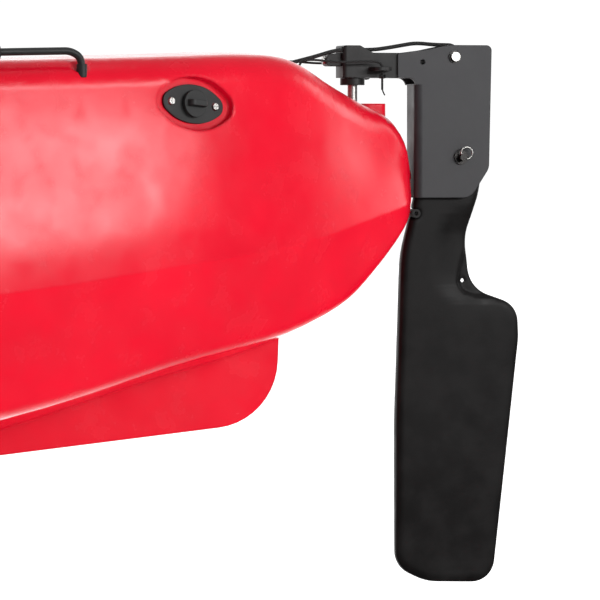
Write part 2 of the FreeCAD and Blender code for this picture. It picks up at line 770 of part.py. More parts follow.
def make_drain():
    flange = plate("XY_Plane", oval(38, 20.5), 3.2, offset=1.6)
    holes = [rod((0, 0, -5), Z_AXIS, 20, 11.8)]
    screws = []
    for side in (1, -1):
        x = side * DRAIN_SCREW_SPACING / 2
        holes.append(rod((x, 0, -5), Z_AXIS, 20, cell("screw_radius")))
        shank = rod((x, 0, -12), Z_AXIS, 15.2, cell("screw_radius"))
        head = cone((x, 0, 3.2), Z_AXIS, 2.2, 4.6, 3.4)
        slots = [box((x - 3, -0.5, 4.6), (6, 1, 3)), box((x - 0.5, -3, 4.6), (1, 6, 3))]
        screws.append(cut(fuse(shank, head), *slots))
    node("drain_flange", in_drain_frame(cut(flange, *holes)))
    node("drain_screws", in_drain_frame(group(*screws)))
    stem = rod((0, 0, -14), Z_AXIS, 20, 11.5)
    cap = rod((0, 0, 5), Z_AXIS, 4, 14.5)
    grip = plate("XZ_Plane", rounded([(-11, 8, 0), (11, 8, 0), (10, 17, 4), (-10, 17, 4)]), 6)
    node("drain_plug", in_drain_frame(fuse(stem, cap, grip)))


def make_side_handles(hull):
    """A carrying handle along each gunwale near the stern: a strap bar, its grip and its feet."""
    path = [(-1401, 236, 438), (-1400, 236.2, 453), (-1388, 239, 459.5), (-1330, 251.6, 458),
            (-1266, 265.6, 456), (-1202, 279.7, 453.5), (-1146, 292, 450), (-1133, 294.8, 443),
            (-1132, 295, 429)]
    bar, length, radii = tube(path, 4)
    print("handle bar", round(length), [round(r, 1) for r in radii])
    grip_start = Vector(-1306, 256.8, 457.2)
    grip_along = Vector(-1226, 274.4, 454.4) - grip_start
    grip = tube_ring(tuple(grip_start), grip_along, grip_along.Length, 10, 6.5)
    feet = []
    for x, y, z in ((-1401, 236, 432), (-1132, 295, 423)):
        feet.append(rod((x, y, z), Z_AXIS, 14, 5.5))
    handle = cut(fuse(bar, *feet), hull)
    node("side_handles", group(handle, mirror_y(handle)))
    node("side_handle_grips", group(grip, mirror_y(grip)))


def make_bow_handle(form):
    path = [(1560, 40, 456), (1556, 40, 484), (1562, 26, 498), (1566, 0, 502),
            (1562, -26, 498), (1556, -40, 484), (1560, -40, 456)]
    bar, length, radii = tube(path, 7)
    print("bow handle", round(length), [round(r, 1) for r in radii])
    node("bow_handle", cut(bar, form))


def make_hatch(form):
    """Bow hatch: a lid that hinges up at its front edge, with a seal and two lever latches."""
    top = HATCH_RIM_TOP
    lid = well(symmetric(hatch_outline(20)), top + 3, top + 13, 0)
    hinge_x = HATCH[1][0] + 36
    knuckle = rod((hinge_x, -30, top + 6), Y_AXIS, 60, 7)
    web = box((hinge_x - 24, -30, top + 3.5), (24, 60, 7))
    bore = rod((hinge_x, -60, top + 6), Y_AXIS, 120, 3.06)
    node("hatch_lid", cut(fuse(lid, web, knuckle), bore))
    seal_space = well(symmetric(hatch_outline(4)), top - 5, top + 9, 0)
    seal = well(symmetric(hatch_outline(11)), top + 0.4, top + 3, 0)
    node("hatch_seal", cut(seal, seal_space))
    lugs = latch_lugs()
    for side in (1, -1):
        lug = plate("XZ_Plane", rounded([(hinge_x - 8, 438, 0), (hinge_x + 10, 438, 0),
                                         (hinge_x + 7, top + 13, 6), (hinge_x - 7, top + 13, 6)]),
                    6, offset=side * 34)
        lugs.append(cut(lug, rod((hinge_x, -60, top + 6), Y_AXIS, 120, 3)))
    node("hatch_lugs", group(*[cut(lug, form) for lug in lugs]))
    latch_x, latch_z = LATCH_AXIS
    node("hatch_pins", group(rod((hinge_x, -38, top + 6), Y_AXIS, 76, 3),
                             rod((latch_x, -20, latch_z), Y_AXIS, 40, 3)))


LATCH_AXIS = (1132, 438)


def make_hatch_latch():
    x, z = LATCH_AXIS
    outline = [(x - 7, z - 7, 6), (x + 7, z - 7, 6), (x + 4, z + 30, 4), (x + 24, z + 30.5, 2),
               (x + 24, z + 36, 2), (x - 5, z + 36, 6)]
    lever = plate("XZ_Plane", rounded(outline), 26)
    node("hatch_latch", cut(lever, rod((x, -40, z), Y_AXIS, 80, 3.06)))


def latch_lugs():
    x, z = LATCH_AXIS
    lugs = []
    for side in (1, -1):
        lug = plate("XZ_Plane", rounded([(x - 8, z - 30, 0), (x + 8, z - 30, 0), (x + 8, z + 8, 6),
                                         (x - 8, z + 8, 6)]), 5, offset=side * 16.5)
        lugs.append(cut(lug, rod((x, -40, z), Y_AXIS, 80, 3)))
    return lugs


def make_gear_tracks(form):
    """Aluminium accessory channels that lie along the top of each gunwale."""
    tracks = []
    for side in (1, -1):
        start = Vector(420, side * 340, 378.5)
        rail = box((0, -11, 0), (220, 22, 9))
        slot = box((-5, -4, 4), (230, 8, 10))
        wide = box((-5, -7.5, 3), (230, 15, 4))
        track = cut(rail, slot, wide)
        track.Placement = Placement(start, Rotation(Z_AXIS, -side * 4.5))
        tracks.append(track)
    node("gear_tracks", group(*[cut(track, form) for track in tracks]))


TILLER_AXIS = (60, 338)


def make_tiller(form):
    """The hand lever beside the seat that steers, on its base on the port gunwale."""
    x, y = TILLER_AXIS
    base = fuse(rod((x, y, 368), Z_AXIS, 12, 24), rod((x, y, 380), Z_AXIS, 16, 7))
    node("tiller_base", cut(base, form))
    bore = rod((x, y, 378), Z_AXIS, 22, 7.06)
    arm = plate("XY_Plane", rounded([(x - 12, y - 14, 10), (x + 86, y - 9, 8), (x + 86, y + 9, 8),
                                     (x - 12, y + 14, 10)]), 9, offset=386)
    knob = fuse(rod((x + 76, y, 385), Z_AXIS, 16, 6), ball((x + 76, y, 408), 15))
    node("tiller_lever", cut(fuse(arm, knob), bore))


# ---------------------------------------------------------------- seat

SEAT_HALF = 196
RAIL_Y = SEAT_HALF


def make_seat():
    """A welded tube frame on two rails, with a sling for the seat and one for the back."""
    floor = size("seat_floor")
    rails = []
    for side in (1, -1):
        rails.append(box((-500, side * RAIL_Y - 15, floor), (630, 30, 8)))
    node("seat_rails", group(*rails))

    runners = []
    for side in (1, -1):
        for x in (-330, 10):
            shoe = box((x, side * RAIL_Y - 22, floor + 0.4), (90, 44, 20))
            groove = box((x - 5, side * RAIL_Y - 15.4, floor - 2), (100, 30.8, 10.4))
            leg_hole = rod((x + 45, side * RAIL_Y, floor + 12), Z_AXIS, 30, 11)
            runners.append(cut(shoe, groove, leg_hole))
    node("seat_runners", group(*runners))

    pan, length, radii = tube([(-322, SEAT_HALF, 228), (-250, SEAT_HALF, 232),
                               (-60, SEAT_HALF, 240), (150, SEAT_HALF, 262),
                               (150, -SEAT_HALF, 262), (-60, -SEAT_HALF, 240),
                               (-250, -SEAT_HALF, 232), (-322, -SEAT_HALF, 228)],
                              cell("seat_tube_radius"), 60)
    print("seat pan", round(length), [round(r, 1) for r in radii])
    pieces = [pan]
    for side in (1, -1):
        for x, top in ((-285, 229), (55, 250)):
            foot = Vector(x, side * RAIL_Y, floor + 12)
            head = Vector(x, side * SEAT_HALF, top)
            leg = head - foot
            pieces.append(rod(tuple(foot), leg, leg.Length, cell("seat_tube_radius")))
    for x, z in ((-285, 150), (55, 150)):
        pieces.append(rod((x, -RAIL_Y - 3, z), Y_AXIS, 2 * (RAIL_Y + 3), 8))
    frame = fuse(*pieces)
    hinge = rod((size("recline_x"), -260, size("recline_z") - 6), Y_AXIS, 520, 4)
    node("seat_frame", cut(frame, hinge))

    bolts = []
    for side in (1, -1):
        bolt = rod((size("recline_x"), side * 182, size("recline_z") - 6), (0, side, 0), 56, 4)
        head = rod((size("recline_x"), side * 235, size("recline_z") - 6), (0, side, 0), 5, 8)
        bolts.append(fuse(bolt, head))
    node("recline_bolts", group(*bolts))

    sling = plate("XZ_Plane", rounded([(-240, 226, 0), (-60, 214, 400), (95, 236, 0),
                                       (95, 241, 0), (-60, 219, 400), (-240, 231, 0)]),
                  2 * (SEAT_HALF - 11.5))
    node("seat_sling", sling)


def make_seat_back():
    x = size("recline_x")
    z = size("recline_z") - 6
    y = 219
    frame, length, radii = tube([(x + 3, y, z - 22), (x - 6, y, z + 40), (x - 40, y, z + 200),
                                 (x - 100, y - 14, z + 430), (x - 100, -y + 14, z + 430),
                                 (x - 40, -y, z + 200), (x - 6, -y, z + 40), (x + 3, -y, z - 22)],
                                cell("seat_tube_radius"), 70)
    print("seat back", round(length), [round(r, 1) for r in radii])
    hinge = rod((x, -260, z), Y_AXIS, 520, 4.06)
    node("seat_back_frame", cut(frame, hinge))
    back = plate("XZ_Plane", rounded([(x - 34, z + 70, 0), (x - 52, z + 200, 300),
                                      (x - 85, z + 350, 0), (x - 79, z + 351, 0),
                                      (x - 46, z + 200, 300), (x - 28, z + 71, 0)]), 2 * 192)
    node("seat_back_sling", back)


# ---------------------------------------------------------------- pedal drive

CASING_HALF = 44
CASING_WALL = 4


def bevel_gear(teeth, mate_teeth, reach, addendum, dedendum):
    """A flat-faced bevel gear with its cone's tip at the origin, opening along +Z.

    Every vertex lies on a line through the cone's tip, so the flanks are flat. The reach is
    the length of the pitch cone, and the toe of each tooth is at a fixed part of it.
    """
    pitch_angle = math.atan2(teeth, mate_teeth)
    tip = pitch_angle + addendum / reach
    root = pitch_angle - dedendum / reach
    pitch = 2 * math.pi / teeth
    rays = []
    for tooth in range(teeth):
        for part, cone_angle in ((-0.25, root), (-0.12, tip), (0.12, tip), (0.25, root)):
            around = (tooth + part) * pitch
            rays.append(Vector(math.sin(cone_angle) * math.cos(around),
                               math.sin(cone_angle) * math.sin(around), math.cos(cone_angle)))
    heel = [ray * reach for ray in rays]
    toe = [ray * reach * 0.72 for ray in rays]
    back = 4.0 if teeth > mate_teeth else 0.0
    heel_middle = Vector(0, 0, math.cos(pitch_angle) * reach + back)
    toe_middle = Vector(0, 0, math.cos(pitch_angle) * reach * 0.72)
    faces = []
    count = len(rays)
    for index in range(count):
        following = (index + 1) % count
        faces.append(flat([heel[index], heel[following], toe[following], toe[index]]))
        faces.append(flat([heel[index], heel[following], heel_middle]))
        faces.append(flat([toe[index], toe[following], toe_middle]))
    solid = Part.makeSolid(Part.makeShell(faces))
    if solid.Volume < 0:
        solid.reverse()
    return solid


def flat(points):
    return Part.Face(Part.makePolygon(points + [points[0]]))


def hexagon(start, axis, length, radius):
    thing = doc.addObject("Part::Prism", "hexagon")
    thing.Polygon = 6
    bind(thing, Circumradius=radius, Height=length)
    thing.Placement = Placement(Vector(*start), turn_to(axis))
    return thing


def make_drive_casing():
    x = size("drive_x")
    crank_z = size("crank_z")
    outline = [(x - 76, 330, 50), (x - 76, crank_z + 76, 70), (x + 76, crank_z + 76, 70),
               (x + 76, 330, 60), (770, 262, 22), (770, 204, 24), (712, 204, 20), (690, 150, 20),
               (690, 30, 0), (630, 30, 0), (630, 250, 60)]
    block = plate("XZ_Plane", rounded(outline), 2 * CASING_HALF, edge=6)
    inside = CASING_HALF - CASING_WALL
    chamber = rod((x, -inside, crank_z), Y_AXIS, 2 * inside, 69)
    channel = box((x - 18, -18, 20), (36, 36, 360))
    seats = rod((x, -60, crank_z), Y_AXIS, 120, 16)
    cross = rod((size("cross_x"), -100, size("cross_z")), Y_AXIS, 200, cell("cross_radius"))
    shell = cut(block, chamber, channel, seats, cross)
    for name, side in (("drive_casing_port", 1), ("drive_casing_starboard", -1)):
        keep = box((500, 0 if side > 0 else -80, 0), (400, 80, 600))
        node(name, common(shell, keep))
    cross_start = (size("cross_x"), -108, size("cross_z"))
    node("drive_cross_tube", rod(cross_start, Y_AXIS, 216, cell("cross_radius")))
    handle, length, radii = tube([(x - 50, 0, crank_z + 70), (x - 60, 0, crank_z + 108),
                                  (x - 20, 0, crank_z + 128), (x + 20, 0, crank_z + 128),
                                  (x + 60, 0, crank_z + 108), (x + 50, 0, crank_z + 70)], 9)
    print("drive handle", round(length), [round(r, 1) for r in radii])
    ends = plate("XZ_Plane", rounded(outline), 2 * CASING_HALF)
    node("drive_handle", cut(handle, ends))


def make_drive_leg():
    x = size("drive_x")
    prop_z = size("prop_z")
    leg = plate("XY_Plane", rounded([(x - 30, -17, 16.9), (x + 28, -17, 16.9), (x + 28, 17, 16.9),
                                     (x - 30, 17, 16.9)]), 168, offset=-54)
    leg_bore = rod((x, 0, -150), Z_AXIS, 200, 13)
    body = fuse(rod((x - 44, 0, prop_z), X_AXIS, 82, 31),
                cone((x + 38, 0, prop_z), X_AXIS, 48, 31, 10))
    chamber = rod((x - 38, 0, prop_z), X_AXIS, 66, 27)
    top_bore = rod((x, 0, prop_z), Z_AXIS, 60, 13)
    prop_bore = rod((x - 60, 0, prop_z), X_AXIS, 40, 9)
    fin = plate("XZ_Plane", rounded([(x - 34, prop_z - 20, 0), (x + 30, prop_z - 20, 0),
                                     (x + 2, prop_z - 84, 16), (x - 30, prop_z - 84, 8)]), 7)
    node("drive_leg", cut(fuse(leg, body, fin), leg_bore, chamber, top_bore, prop_bore))


def make_drive_bearings():
    x = size("drive_x")
    bearings = []
    for z, outer in ((322, 17.9), (60, 17.9), (-112, 12.9)):
        bearings.append(tube_ring((x, 0, z), Z_AXIS, 9, outer, 7.06))
    for side in (37, -45):
        bearings.append(tube_ring((x, side, size("crank_z")), Y_AXIS, 8, 16, 8.56))
    node("drive_bearings", group(*bearings))


GEAR_REACH = 57.0
LOWER_REACH = 21.5


def make_drive_train():
    x = size("drive_x")
    crank_z = size("crank_z")
    prop_z = size("prop_z")
    crank_gear = placed(bevel_gear(40, 10, GEAR_REACH, 2.0, 2.8), (x, 0, crank_z),
                        Rotation(X_AXIS, -90))
    node("crank_gear", cut(crank_gear, hexagon((x, -20, crank_z), Y_AXIS, 60, 8.5)))
    top_pinion = placed(bevel_gear(10, 40, GEAR_REACH, 2.0, 2.8), (x, 0, crank_z),
                        Rotation(Z_AXIS, 108).multiply(Rotation(X_AXIS, 180)))
    shaft_foot = prop_z + 7
    shaft_head = crank_z - 41
    bar = hexagon((x, 0, shaft_foot), Z_AXIS, shaft_head - shaft_foot, 7)
    node("drive_shaft", fuse(bar, top_pinion))
    low_gear = placed(bevel_gear(25, 10, LOWER_REACH, 1.2, 1.6), (x, 0, prop_z))
    node("lower_gear", cut(low_gear, hexagon((x, 0, prop_z - 5), Z_AXIS, 60, 7)))
    prop_pinion = placed(bevel_gear(10, 25, LOWER_REACH, 1.2, 1.6), (x, 0, prop_z),
                         Rotation(Y_AXIS, -90))
    tail = hexagon((x - 104, 0, prop_z), X_AXIS, 88, 5)
    node("prop_shaft", fuse(tail, prop_pinion))


def make_propeller():
    x = size("drive_x")
    prop_z = size("prop_z")
    hub_start = x - 94
    hub = rod((hub_start, 0, prop_z), X_AXIS, 42, 20)
    blades = []
    for turn in (0, 180):
        blade = plate("XZ_Plane", rounded([(-14, 12, 0), (14, 12, 0), (34, 75, 40), (22, 130, 24),
                                           (-16, 130, 24), (-30, 75, 40)]), 5)
        pitch = Placement(Vector(0, 0, 0), Rotation(Z_AXIS, 62))
        lay = Placement(Vector(hub_start + 21, 0, prop_z), Rotation(X_AXIS, turn))
        blade.Placement = lay.multiply(pitch)
        blades.append(blade)
    bore = hexagon((hub_start - 30, 0, prop_z), X_AXIS, 120, 5)
    node("propeller", cut(fuse(hub, *blades), bore))
    nut = cone((hub_start, 0, prop_z), X_AXIS * -1, 26, 20, 7)
    node("prop_nut", cut(nut, hexagon((hub_start - 10, 0, prop_z), X_AXIS, 30, 5)))


def make_cranks():
    x = size("drive_x")
    z = size("crank_z")
    throw = size("crank_throw")
    node("crank_shaft", hexagon((x, -74, z), Y_AXIS, 148, 8.5))
    arms = []
    axles = []
    for name, side in (("port", 1), ("starboard", -1)):
        pedal_x = x + side * throw
        low, high = sorted((x, pedal_x))
        outline = [(low - 20, z - 18, 17.9), (high + 20, z - 18, 17.9), (high + 20, z + 18, 17.9),
                   (low - 20, z + 18, 17.9)]
        arm = plate("XZ_Plane", rounded(outline), 14, offset=side * 66, edge=3)
        axle_hole = rod((pedal_x, -120, z), Y_AXIS, 240, 6)
        arms.append(cut(arm, hexagon((x, -120, z), Y_AXIS, 240, 8.5), axle_hole))
        axle_start = (pedal_x, side * 59, z)
        stub = rod(axle_start, (0, side, 0), 126, 6)
        axles.append(fuse(stub, rod((pedal_x, side * 181, z), (0, side, 0), 4, 9)))
        body = plate("XY_Plane", rounded([(pedal_x - 52, side * 77, 14), (pedal_x + 52, side * 77, 14),
                                          (pedal_x + 46, side * 176, 18),
                                          (pedal_x - 46, side * 176, 18)]), 26, offset=z, edge=3)
        bore = rod((pedal_x, side * 70, z), (0, side, 0), 130, 6.06)
        windows = [box((pedal_x + dx - 13, side * 126 - 30, z - 30), (26, 60, 60)) for dx in (-28, 28)]
        node("pedal_" + name, cut(body, bore, *windows))
    node("crank_arms", group(*arms))
    node("pedal_axles", group(*axles))


def make_cradles():
    """Posts for the drive's cross tube, each with a keeper that slides out on a pin."""
    x = size("cross_x")
    z = size("cross_z")
    floor = size("well_floor")
    cradles = []
    for side in (1, -1):
        outline = [(x - 60, floor, 0), (x + 60, floor, 0), (x + 28, z + 2, 8), (x - 28, z + 2, 8)]
        post = plate("XZ_Plane", rounded(outline), 34, offset=side * 78)
        seat = rod((x, -120, z), Y_AXIS, 240, cell("cross_radius") + " + 0.3")
        half = size("cross_radius") + 0.3
        mouth = box((x - half, -120, z), (2 * half, 240, 40))
        cradles.append(cut(post, seat, mouth))
    node("drive_cradles", group(*cradles))
    pins = []
    for name, side in (("port", 1), ("starboard", -1)):
        guide = (x - 24, z - 16)
        outline = [(x - 34, z - 26, 9), (x - 14, z - 26, 9), (x - 16, z + 14, 0),
                   (x + 26, z + 14, 2), (x + 26, z + 20, 3), (x - 34, z + 20, 9)]
        keeper = plate("XZ_Plane", rounded(outline), 7, offset=side * 100)
        pin_hole = rod((guide[0], -140, guide[1]), Y_AXIS, 280, 4.06)
        node("keeper_" + name, cut(keeper, pin_hole))
        pin = rod((guide[0], side * 95, guide[1]), (0, side, 0), 31, 4)
        head = rod((guide[0], side * 126, guide[1]), (0, side, 0), 4, 7)
        pins.append(fuse(pin, head))
    node("keeper_pins", group(*pins))


# ---------------------------------------------------------------- the document

def check_document():
    """Stop on any failed object, or any sub-part that is empty or not a valid solid."""
    failures = []
    for thing in doc.Objects:
        if "Invalid" in thing.State or "Error" in thing.State:
            failures.append("%s (%s) is %s" % (thing.Name, thing.Label, thing.State))
    for name, thing in NODES.items():
        shape = thing.Shape
        if shape.isNull() or not shape.isValid() or not shape.Solids:
            failures.append("sub-part %s has no valid solid" % name)
            continue
        print("%-26s %2d solid(s) %12.1f mm3" % (name, len(shape.Solids), shape.Volume))
    if failures:
        raise RuntimeError("; ".join(failures))


def main():
    form, hull = make_hull()
    make_rudder_pin()
    make_rudder_head()
    make_rudder_housing()
    make_rudder_fasteners()
    make_lift_sheave()
    make_blade()
    make_lines()
    make_drain()
    make_side_handles(hull)
    make_bow_handle(form)
    make_hatch(form)
    make_hatch_latch()
    make_gear_tracks(form)
    make_tiller(form)
    make_seat()
    make_seat_back()
    make_drive_casing()
    make_drive_leg()
    make_drive_bearings()
    make_drive_train()
    make_propeller()
    make_cranks()
    make_cradles()
    doc.recompute()
    check_document()
    os.makedirs("parts", exist_ok=True)
    for name, thing in NODES.items():
        thing.Shape.exportStep("parts/%s.step" % name)
    print(len(NODES), "sub-parts")


main()
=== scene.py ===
"""Looks of the pedal kayak: moulded red hull, kick-up rudder, sling seat and pedal drive.

The pieces stand in a pale studio and every CAD node keeps its shape, apart from those replaced below.
"""

import json
import math

import bmesh
import bpy
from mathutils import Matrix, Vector


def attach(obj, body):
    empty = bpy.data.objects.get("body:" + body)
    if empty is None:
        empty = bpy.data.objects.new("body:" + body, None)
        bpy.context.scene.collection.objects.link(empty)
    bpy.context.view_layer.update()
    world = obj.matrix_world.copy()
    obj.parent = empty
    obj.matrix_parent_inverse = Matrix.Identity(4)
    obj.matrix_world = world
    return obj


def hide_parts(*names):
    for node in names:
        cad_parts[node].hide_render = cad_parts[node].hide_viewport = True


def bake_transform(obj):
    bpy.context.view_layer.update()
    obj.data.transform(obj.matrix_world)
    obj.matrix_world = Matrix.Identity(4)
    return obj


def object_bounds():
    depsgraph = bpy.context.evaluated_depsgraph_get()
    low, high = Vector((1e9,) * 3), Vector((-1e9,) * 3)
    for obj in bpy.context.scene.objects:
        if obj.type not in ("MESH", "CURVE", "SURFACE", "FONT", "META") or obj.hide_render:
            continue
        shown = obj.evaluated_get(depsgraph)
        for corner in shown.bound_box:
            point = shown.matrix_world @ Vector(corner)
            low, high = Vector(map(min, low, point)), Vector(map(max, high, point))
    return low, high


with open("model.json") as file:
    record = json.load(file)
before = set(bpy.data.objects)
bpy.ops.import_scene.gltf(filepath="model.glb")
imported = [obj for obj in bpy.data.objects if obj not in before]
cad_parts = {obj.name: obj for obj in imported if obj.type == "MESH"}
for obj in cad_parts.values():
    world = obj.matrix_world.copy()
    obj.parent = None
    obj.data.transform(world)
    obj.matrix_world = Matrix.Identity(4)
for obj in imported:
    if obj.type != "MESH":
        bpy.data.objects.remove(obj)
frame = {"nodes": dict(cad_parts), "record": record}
cad_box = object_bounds()
scene = bpy.context.scene
NODES = frame["nodes"]

RED = (0.56, 0.0005, 0.014)


# ---------------------------------------------------------------- material helpers

def new_material(name, colour, roughness, metallic=0.0, specular=0.5):
    """A material with one principled shader: the material, its node tree and the shader."""
    material = bpy.data.materials.new(name)
    material.use_nodes = True
    tree = material.node_tree
    shader = tree.nodes["Principled BSDF"]
    shader.inputs["Base Color"].default_value = (*colour, 1)
    shader.inputs["Roughness"].default_value = roughness
    shader.inputs["Metallic"].default_value = metallic
    shader.inputs["Specular IOR Level"].default_value = specular
    return material, tree, shader


def coordinates(tree, kind="Object", scale=(1, 1, 1)):
    source = tree.nodes.new("ShaderNodeTexCoord")
    mapping = tree.nodes.new("ShaderNodeMapping")
    mapping.inputs["Scale"].default_value = scale
    tree.links.new(source.outputs[kind], mapping.inputs["Vector"])
    return mapping.outputs["Vector"]


def noise(tree, vector, scale, detail=3.0, roughness=0.55):
    node = tree.nodes.new("ShaderNodeTexNoise")
    node.inputs["Scale"].default_value = scale
    node.inputs["Detail"].default_value = detail
    node.inputs["Roughness"].default_value = roughness
    tree.links.new(vector, node.inputs["Vector"])
    return node.outputs["Fac"]


def wave(tree, vector, scale, direction, shape="SIN"):
    node = tree.nodes.new("ShaderNodeTexWave")
    node.wave_type = "BANDS"
    node.bands_direction = direction
    node.wave_profile = shape
    node.inputs["Scale"].default_value = scale
    tree.links.new(vector, node.inputs["Vector"])
    return node.outputs["Fac"]


def join(tree, kind, first, second):
    """Two values put together by a Math node of the kind named."""
    node = tree.nodes.new("ShaderNodeMath")
    node.operation = kind
    for socket, value in zip(node.inputs, (first, second)):
        if isinstance(value, (int, float)):
            socket.default_value = value
        else:
            tree.links.new(value, socket)
    return node.outputs["Value"]


def spread(tree, value, low, high, start=0.3, stop=0.7):
    """The value between two levels, or two colours, as it goes from start to stop."""
    node = tree.nodes.new("ShaderNodeValToRGB")
    ends = node.color_ramp.elements
    ends[0].position = start
    ends[1].position = stop
    for end, level in zip(ends, (low, high)):
        end.color = (*level, 1) if isinstance(level, tuple) else (level, level, level, 1)
    tree.links.new(value, node.inputs["Fac"])
    return node.outputs["Color"]


def add_bumps(tree, shader, layers, edge=0.0):
    """Bumps one on another, each a height, its depth in metres and its strength, over softened edges."""
    normal = None
    if edge:
        node = tree.nodes.new("ShaderNodeBevel")
        node.samples = 4
        node.inputs["Radius"].default_value = edge
        normal = node.outputs["Normal"]
    for height, depth, strength in layers:
        node = tree.nodes.new("ShaderNodeBump")
        node.inputs["Distance"].default_value = depth
        node.inputs["Strength"].default_value = strength
        tree.links.new(height, node.inputs["Height"])
        if normal is not None:
            tree.links.new(normal, node.inputs["Normal"])
        normal = node.outputs["Normal"]
    tree.links.new(normal, shader.inputs["Normal"])


# ---------------------------------------------------------------- materials

def hull_material():
    """Rotomoulded polyethylene: faint waves and orange peel, soft mottling, scuffs under the keel."""
    material, tree, shader = new_material("hull_red", RED, 0.3, specular=0.26)
    vector = coordinates(tree)
    mottle = noise(tree, vector, 9.0, 5.0)
    colour = spread(tree, mottle, (0.52, 0.0004, 0.013), (0.60, 0.0007, 0.016))
    scratch_vector = coordinates(tree, scale=(0.6, 4.0, 9.0))
    scratches = spread(tree, noise(tree, scratch_vector, 38.0, 8.0, 0.75), 0.0, 1.0, 0.66, 0.74)
    place = tree.nodes.new("ShaderNodeSeparateXYZ")
    tree.links.new(coordinates(tree), place.inputs["Vector"])
    low_down = spread(tree, place.outputs["Z"], 1.0, 0.0, 0.0, 0.09)
    scuffed = join(tree, "MULTIPLY", scratches, low_down)
    blend = tree.nodes.new("ShaderNodeMix")
    blend.data_type = "RGBA"
    tree.links.new(join(tree, "MULTIPLY", scuffed, 0.5), blend.inputs["Factor"])
    tree.links.new(colour, blend.inputs["A"])
    blend.inputs["B"].default_value = (0.54, 0.07, 0.07, 1)
    tree.links.new(blend.outputs["Result"], shader.inputs["Base Color"])
    surface = tree.nodes.new("ShaderNodeNewGeometry")
    facing = tree.nodes.new("ShaderNodeSeparateXYZ")
    tree.links.new(surface.outputs["Normal"], facing.inputs["Vector"])
    burnished = spread(tree, join(tree, "MULTIPLY", facing.outputs["Z"], -1.0), 1.0, 0.25, 0.88, 0.96)
    satin = spread(tree, noise(tree, vector, 31.0, 6.0), 0.20, 0.30)
    tree.links.new(join(tree, "MULTIPLY", satin, burnished), shader.inputs["Roughness"])
    add_bumps(tree, shader, [(noise(tree, vector, 14.0, 2.0), 0.0014, 0.22),
                             (noise(tree, vector, 360.0, 2.0), 0.00010, 0.35),
                             (scratches, 0.00008, 0.25)], edge=0.005)
    return material


def plastic(name, colour, roughness, specular, grain=1100.0, edge=0.0012):
    """Moulded or cast dark finish: a fine grain, patchy polish and paler rubbed places."""
    material, tree, shader = new_material(name, colour, roughness, specular=specular)
    vector = coordinates(tree)
    patch = noise(tree, vector, 34.0, 6.0)
    worn = tuple(channel * 1.5 + 0.003 for channel in colour)
    tree.links.new(spread(tree, patch, colour, worn, 0.42, 0.85), shader.inputs["Base Color"])
    tree.links.new(spread(tree, patch, roughness - 0.06, roughness + 0.1), shader.inputs["Roughness"])
    add_bumps(tree, shader, [(noise(tree, vector, grain, 3.0), 0.00012, 0.4)], edge)
    return material


def brushed_metal(name, colour, roughness, stretch, edge=0.0006):
    material, tree, shader = new_material(name, colour, roughness, 1.0)
    streak = noise(tree, coordinates(tree, scale=stretch), 70.0, 5.0)
    dull = tuple(channel * 0.8 for channel in colour)
    tree.links.new(spread(tree, streak, dull, colour), shader.inputs["Base Color"])
    tree.links.new(spread(tree, streak, roughness - 0.07, roughness + 0.12), shader.inputs["Roughness"])
    add_bumps(tree, shader, [(streak, 0.00005, 0.4)], edge)
    return material


def braid_material(name, colour, strands, pitch):
    """Braided cord: two crossing helices of strands, along the tube's own length and girth."""
    material, tree, shader = new_material(name, colour, 0.72, specular=0.25)
    vector = coordinates(tree, "UV")
    place = tree.nodes.new("ShaderNodeSeparateXYZ")
    tree.links.new(vector, place.inputs["Vector"])
    along = join(tree, "MULTIPLY", place.outputs["X"], 2 * math.pi / pitch)
    around = join(tree, "MULTIPLY", place.outputs["Y"], 2 * math.pi * strands)
    one = join(tree, "SINE", join(tree, "ADD", along, around), 0.0)
    two = join(tree, "SINE", join(tree, "SUBTRACT", along, around), 0.0)
    weave = join(tree, "MAXIMUM", one, two)
    pale = tuple(channel * 2.2 + 0.004 for channel in colour)
    tree.links.new(spread(tree, weave, colour, pale, 0.2, 1.0), shader.inputs["Base Color"])
    add_bumps(tree, shader, [(weave, 0.0004, 0.8)])
    return material


def mesh_cloth_material():
    """Sling mesh: crossing yarns in a plain weave, with a faint sheen and slight unevenness."""
    material, tree, shader = new_material("sling_mesh", (0.015, 0.016, 0.018), 0.75, specular=0.3)
    vector = coordinates(tree, "UV")
    warp = wave(tree, vector, 300.0, "X")
    weft = wave(tree, vector, 300.0, "Y")
    weave = join(tree, "MAXIMUM", warp, weft)
    uneven = noise(tree, vector, 60.0, 4.0)
    dark = spread(tree, join(tree, "MULTIPLY", weave, join(tree, "ADD", uneven, 0.5)),
                  (0.004, 0.004, 0.005), (0.035, 0.036, 0.040), 0.3, 1.0)
    tree.links.new(dark, shader.inputs["Base Color"])
    shader.inputs["Sheen Weight"].default_value = 0.25
    add_bumps(tree, shader, [(weave, 0.0006, 0.7), (uneven, 0.001, 0.2)])
    return material


MATERIALS = {
    "hull_red": hull_material(),
    "black_plastic": plastic("black_plastic", (0.010, 0.010, 0.010), 0.46, 0.3),
    "housing_grey": plastic("housing_grey", (0.022, 0.022, 0.024), 0.42, 0.28, 1500.0),
    "stainless": brushed_metal("stainless", (0.50, 0.49, 0.47), 0.30, (1, 1, 14)),
    "aluminium": brushed_metal("aluminium", (0.42, 0.43, 0.45), 0.32, (14, 1, 1), 0.001),
    "gear_steel": brushed_metal("gear_steel", (0.36, 0.36, 0.37), 0.30, (1, 8, 8)),
    "line": braid_material("line", (0.010, 0.010, 0.010), 4, 0.006),
    "sling": mesh_cloth_material(),
    "rubber": plastic("rubber", (0.013, 0.013, 0.013), 0.62, 0.2, 800.0),
}
BLACKENED = brushed_metal("blackened_steel", (0.045, 0.043, 0.042), 0.34, (1, 1, 14))
BLADE = plastic("blade_plastic", (0.004, 0.0035, 0.0035), 0.42, 0.13, 700.0)
